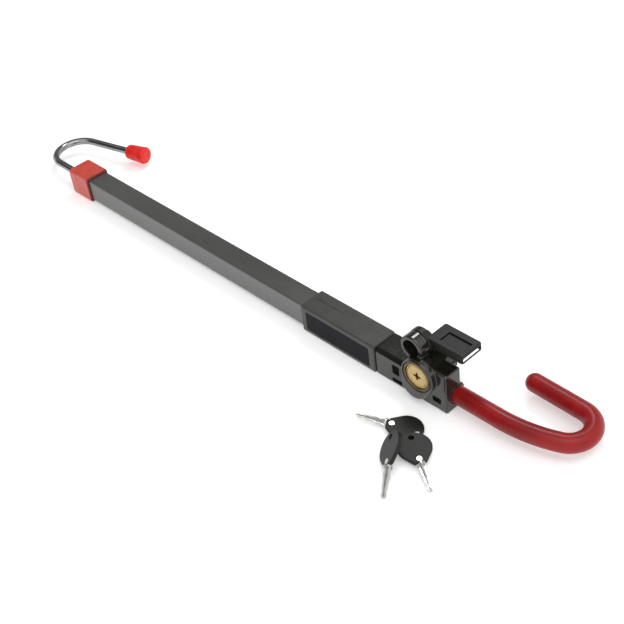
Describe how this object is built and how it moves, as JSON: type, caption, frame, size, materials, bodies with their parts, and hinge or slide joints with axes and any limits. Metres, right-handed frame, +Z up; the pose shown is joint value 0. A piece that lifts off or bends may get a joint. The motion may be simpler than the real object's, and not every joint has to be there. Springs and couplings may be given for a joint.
{
  "type": "steering wheel lock",
  "caption": "Extendable steering wheel lock: square tube, red coated wheel hook, chrome pedal hook, key cylinder, press paddle and cross keys.",
  "frame": {"origin": "on the flat underside of the grip sleeve, at its mid length and mid width, on the surface that the lock lies on", "axes": "+X along the tube towards the wheel hook, +Z up, +Y towards the side that both hooks open to"},
  "size_m": [0.6156, 0.1617, 0.0545],
  "materials": {
    "tube_paint": "satin black paint over steel",
    "cast_black": "gloss black coat over a die casting",
    "black_plastic": "satin black",
    "panel_film": "smooth near-black film",
    "red_plastic": "semi-gloss red",
    "red_vinyl": "dipped soft vinyl, semi-gloss deep red",
    "chrome": "bright plating",
    "steel": "plain turned or drawn steel",
    "brass": "turned brass",
    "nickel": "nickel plate over brass"
  },
  "bodies": {
    "lock_frame": {"main_tube": "tube_paint", "pedal_end_cap": "red_plastic", "pedal_hook": "chrome", "pedal_hook_tip": "red_plastic", "shank_anchor": "steel", "shank_pin": "steel", "grip_sleeve": "black_plastic", "side_panel_near": "panel_film", "side_panel_far": "panel_film", "sleeve_screw": "steel", "tail_rivet_top_1": "steel", "tail_rivet_low_1": "steel", "tail_rivet_top_2": "steel", "tail_rivet_low_2": "steel", "lock_body": "cast_black", "mechanism_cover": "cast_black", "cover_screw_1": "steel", "cover_screw_2": "steel", "cover_screw_3": "steel", "cover_screw_4": "steel", "exit_bush": "black_plastic", "guard_ring": "cast_black", "cylinder_housing": "brass", "lever_pin": "steel", "lever_spring": "steel"},
    "wheel_hook": {"hook_rod": "steel", "hook_coating": "red_vinyl", "guide_block": "black_plastic", "guide_block_pin": "steel"},
    "press_lever": {"press_lever": "black_plastic"},
    "bolt": {"locking_bolt": "steel", "bolt_spring": "steel"},
    "plug": {"key_plug": "brass", "plug_drive": "steel"},
    "catch": {"catch_plate": "steel"},
    "key_1": {"key_1_bow": "black_plastic", "key_1_blade": "nickel"},
    "key_2": {"key_2_bow": "black_plastic", "key_2_blade": "nickel"},
    "key_3": {"key_3_bow": "black_plastic", "key_3_blade": "nickel"}
  },
  "joints": [
    {"name": "hook_slide", "type": "slide", "parent": "lock_frame", "child": "wheel_hook", "axis": [1, 0, 0], "range_m": [0, 0.2]},
    {"name": "lever_press", "type": "hinge", "parent": "lock_frame", "child": "press_lever", "pos_m": [0.0755, 0, 0.0445], "axis": [0, 1, 0], "range_deg": [0, 13], "stiffness_Nm_per_rad": 0.5, "springref_deg": -20.05},
    {"name": "bolt_drop", "type": "slide", "parent": "lock_frame", "child": "bolt", "axis": [0, 0, -1], "range_m": [0, 0.00211], "deforming": ["bolt_spring"]},
    {"name": "plug_turn", "type": "hinge", "parent": "lock_frame", "child": "plug", "pos_m": [0.084, 0, 0.0265], "axis": [0, 1, 0], "range_deg": [0, 90]},
    {"name": "catch_shift", "type": "slide", "parent": "lock_frame", "child": "catch", "axis": [1, 0, 0], "range_m": [0, 0.0023]},
    {"name": "key_1_lift", "type": "slide", "parent": "lock_frame", "child": "key_1", "axis": [0, 0, 1], "range_m": [0, 0.06]},
    {"name": "key_3_lift", "type": "slide", "parent": "key_1", "child": "key_3", "axis": [0, 0, 1], "range_m": [0, 0.06]},
    {"name": "key_2_lift", "type": "slide", "parent": "key_3", "child": "key_2", "axis": [0, 0, 1], "range_m": [0, 0.06]}
  ],
  "couplings": [
    {"joint": "bolt_drop", "follows": "lever_press", "m_per_rad": 0.009256},
    {"joint": "catch_shift", "follows": "plug_turn", "m_per_rad": 0.00144}
  ]
}
